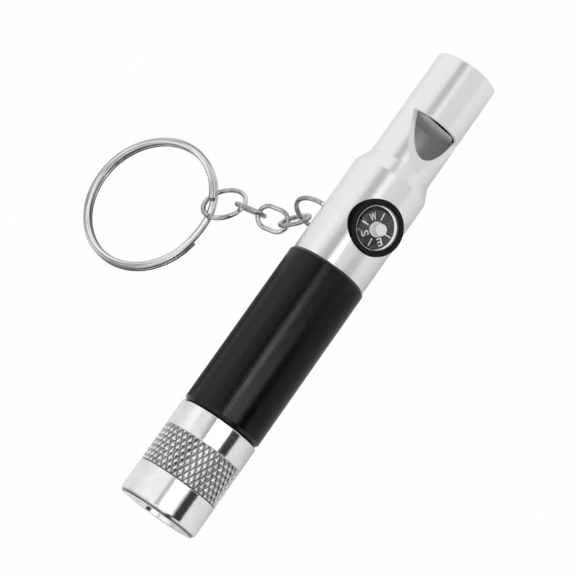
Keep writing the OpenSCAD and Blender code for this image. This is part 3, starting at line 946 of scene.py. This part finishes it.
def wire_section(radius, steps=24):
    """The section of round wire, with its normals."""
    spin = np.linspace(0, 2 * math.pi, steps, endpoint=False)
    return [(radius * math.cos(a), radius * math.sin(a), math.cos(a), math.sin(a)) for a in spin]


def ring_path(radius, start, turn, steps):
    """The middle line of a ring from a start angle on, with the way out at each point."""
    angles = [math.radians(start + turn * i / steps) for i in range(steps + 1)]
    outs = [(math.cos(a), math.sin(a)) for a in angles]
    return [(radius * c, radius * s) for c, s in outs], outs


def link_path(length, width, steps=28):
    """The middle line of an oval link, with the way out at each point."""
    bend, half = width / 2, (length - width) / 2
    path, outs = [], []
    for side in (1, -1):
        for i in range(steps + 1):
            a = math.radians(-90 + 180 * i / steps) + (0 if side == 1 else math.pi)
            outs.append((math.cos(a), math.sin(a)))
            path.append((side * half + bend * math.cos(a), bend * math.sin(a)))
    return path, outs


wire_d, end_ring_r, link_len, link_w, ring_steps = 0.8, 3.66, 6.1, 4.54, 160
all_but_gap = 358
nickel = Finish("plated_steel")
place = nickel.place()
smear = nickel.noise(place, 350.0, 2.0)
pits = nickel.noise(place, 6000.0, 1.0)
nickel_made = nickel.surface(
    Base_Color=nickel.tones(smear.rise(0.3, 0.7), 0.36, 0.78),
    Metallic=1.0,
    Roughness=0.06 + 0.08 * smear,
    Normal=nickel.bump(pits, 0.003),
)
round_wire = wire_section(wire_d / 2)
for node, radius, turn, gap_at in (
    ("eye_ring", eye_ring_r, eye_turn, 179),
    ("end_ring", end_ring_r, (24.8, 3.2, 111.9), 70),
):
    path, outs = ring_path(radius, gap_at, all_but_gap, ring_steps)
    lot = swept(path, outs, round_wire, lying(node, turn), closed=False)
    piece(node + "_wire", [lot], nickel_made, node, "plated_steel", node)
for node, turn in (
    ("link_1", (-135.9, 15.6, 118.8)),
    ("link_2", (-21.9, -13.9, 99.9)),
    ("link_3", (-102.0, 4.0, 94.9)),
):
    path, outs = link_path(link_len - wire_d, link_w - wire_d)
    lot = swept(path, outs, round_wire, lying(node, turn))
    piece(node + "_wire", [lot], nickel_made, node, "plated_steel", node)


# The split ring: flat spring steel wound into two coils that lie on each other. One end steps
# up onto the other coil beside the chain, and both ends are cut square.
def crowned(half_w, half_t, crown, steps=40):
    """The section of flat wire with rounded edges: a superellipse and its normals."""
    made = []
    for k in range(steps):
        a = 2 * math.pi * k / steps
        signs = np.sign((math.cos(a), math.sin(a)))
        shares = np.abs((math.cos(a), math.sin(a))) ** crown
        lean = shares ** (2 / crown - 1) / (half_w, half_t)
        made.append((*(signs * shares * (half_w, half_t)), *(signs * lean / np.linalg.norm(lean))))
    return made


ring_r, ring_w, ring_t, coil_step, crown = 11.73, 1.3, 0.65, 0.68, 0.55
ring_tilt, ring_heading, ring_end, cross, coil_steps = 3.9, -63.8, -36.7, 40, 400
whole = 2 * (360 - cross) + cross
path, outs = ring_path(ring_r, ring_end, -whole, coil_steps)
rise = []
for i in range(coil_steps + 1):
    u = min(1, max(0, (whole * i / coil_steps - 360 + cross) / cross))
    rise.append(ring_t / 2 + u * u * (3 - 2 * u) * coil_step)
ring_place = lying("split_ring", (0, -ring_tilt, ring_heading))
flat_wire = crowned(ring_w / 2, ring_t / 2, crown)
points, faces, normals = swept(path, outs, flat_wire, ring_place, rise=rise, closed=False)
low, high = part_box("split_ring")
middle = (np.array(low) + np.array(high)) / 2
points += middle / MM - (points.min(0) + points.max(0)) / 2

# The rolled wire's fine lines run round the ring.
rolled = Finish("rolled_steel")
x, y, z = rolled.axes(rolled.place())
from_middle = ((x - middle[0]) ** 2 + (y - middle[1]) ** 2) ** 0.5
drawn_out = rolled.node("CombineXYZ", {}, {0: 5200 * from_middle, 1: 110 * x, 2: 110 * y})
lines = rolled.noise(drawn_out, 1.0)
piece(
    "split_ring_coils",
    [(points, [face[::-1] for face in faces], normals)],
    rolled.surface(
        Base_Color=rolled.tones(lines.rise(0.36, 0.62), 0.28, 0.86),
        Metallic=1.0,
        Roughness=0.08 + 0.14 * lines,
        Normal=rolled.bump(lines, 0.004),
    ),
    "split_ring",
    "plated_steel",
    "split_ring",
)


# The meshes are brought up to date.
for made in list(bpy.data.objects):
    if made.type == "MESH":
        made.data.update()
